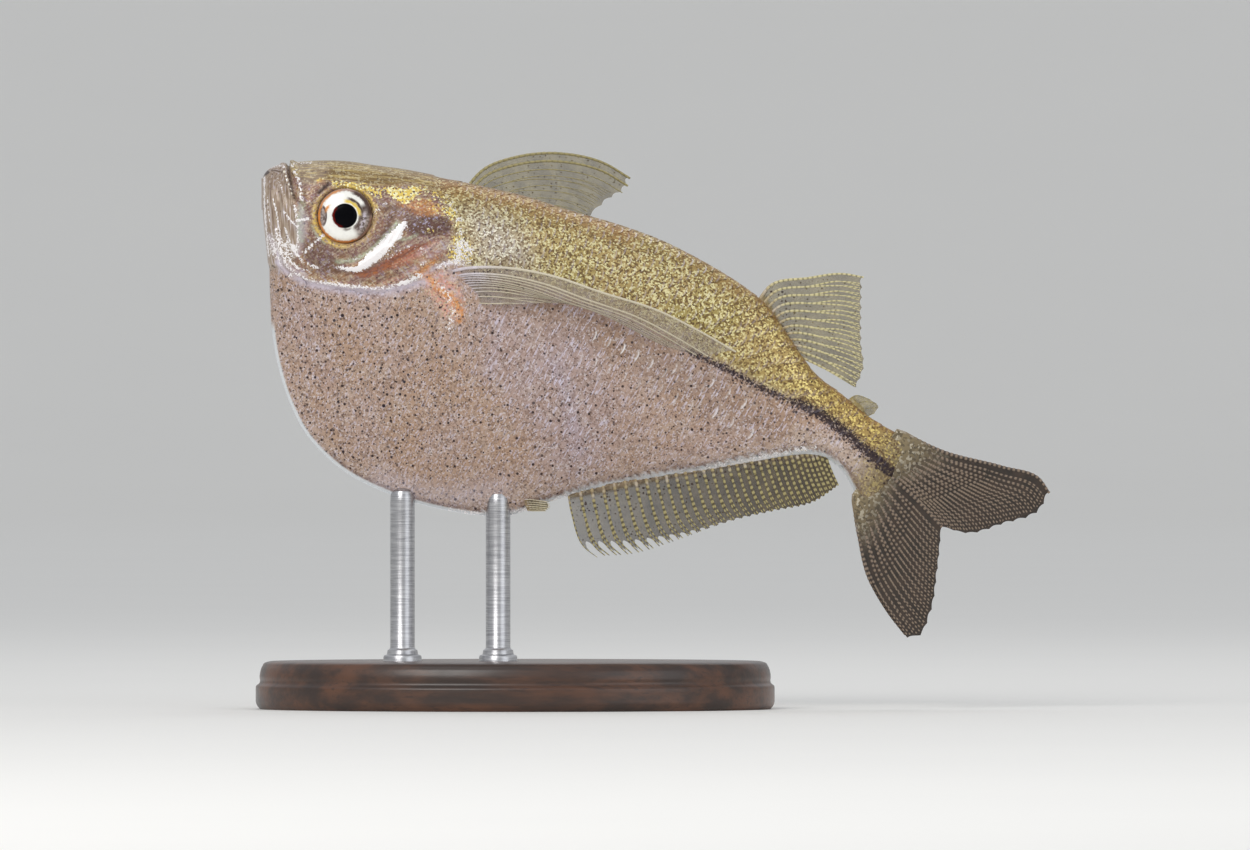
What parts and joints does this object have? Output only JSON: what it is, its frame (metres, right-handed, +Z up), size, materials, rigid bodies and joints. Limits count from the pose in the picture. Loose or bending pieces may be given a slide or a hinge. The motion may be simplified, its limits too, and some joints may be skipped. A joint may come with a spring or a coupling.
{
  "type": "silver hatchetfish",
  "caption": "Still, life-size model of a silver hatchetfish with wing-like side fins spread, held over a flat oval base by short rods.",
  "frame": {"origin": "middle of the underside of the stand's oval base, which rests on the floor", "axes": "+X from the head towards the tail, -Y towards the fish's left side, +Z up"},
  "size_m": [0.0581, 0.0301, 0.041],
  "materials": {
    "skin": "silvery, scaled, olive-gold back and mauve-silver flank",
    "fin": "clear olive membrane with cream rays",
    "eye": "wet gloss, silver iris and black pupil",
    "stand_base": "dark satin wood",
    "stand_rod": "satin"
  },
  "bodies": {
    "root": {"head": "skin", "lower_jaw": "skin", "trunk": "skin", "breast": "skin", "tail": "skin", "dorsal_fin": "fin", "adipose_fin": "fin", "anal_fin": "fin", "caudal_fin": "fin", "pectoral_fin_left": "fin", "pectoral_fin_right": "fin", "pelvic_fin_left": "fin", "pelvic_fin_right": "fin", "eye_left": "eye", "eye_right": "eye", "stand_base": "stand_base", "stand_rod_front": "stand_rod", "stand_rod_rear": "stand_rod"}
  },
  "joints": []
}
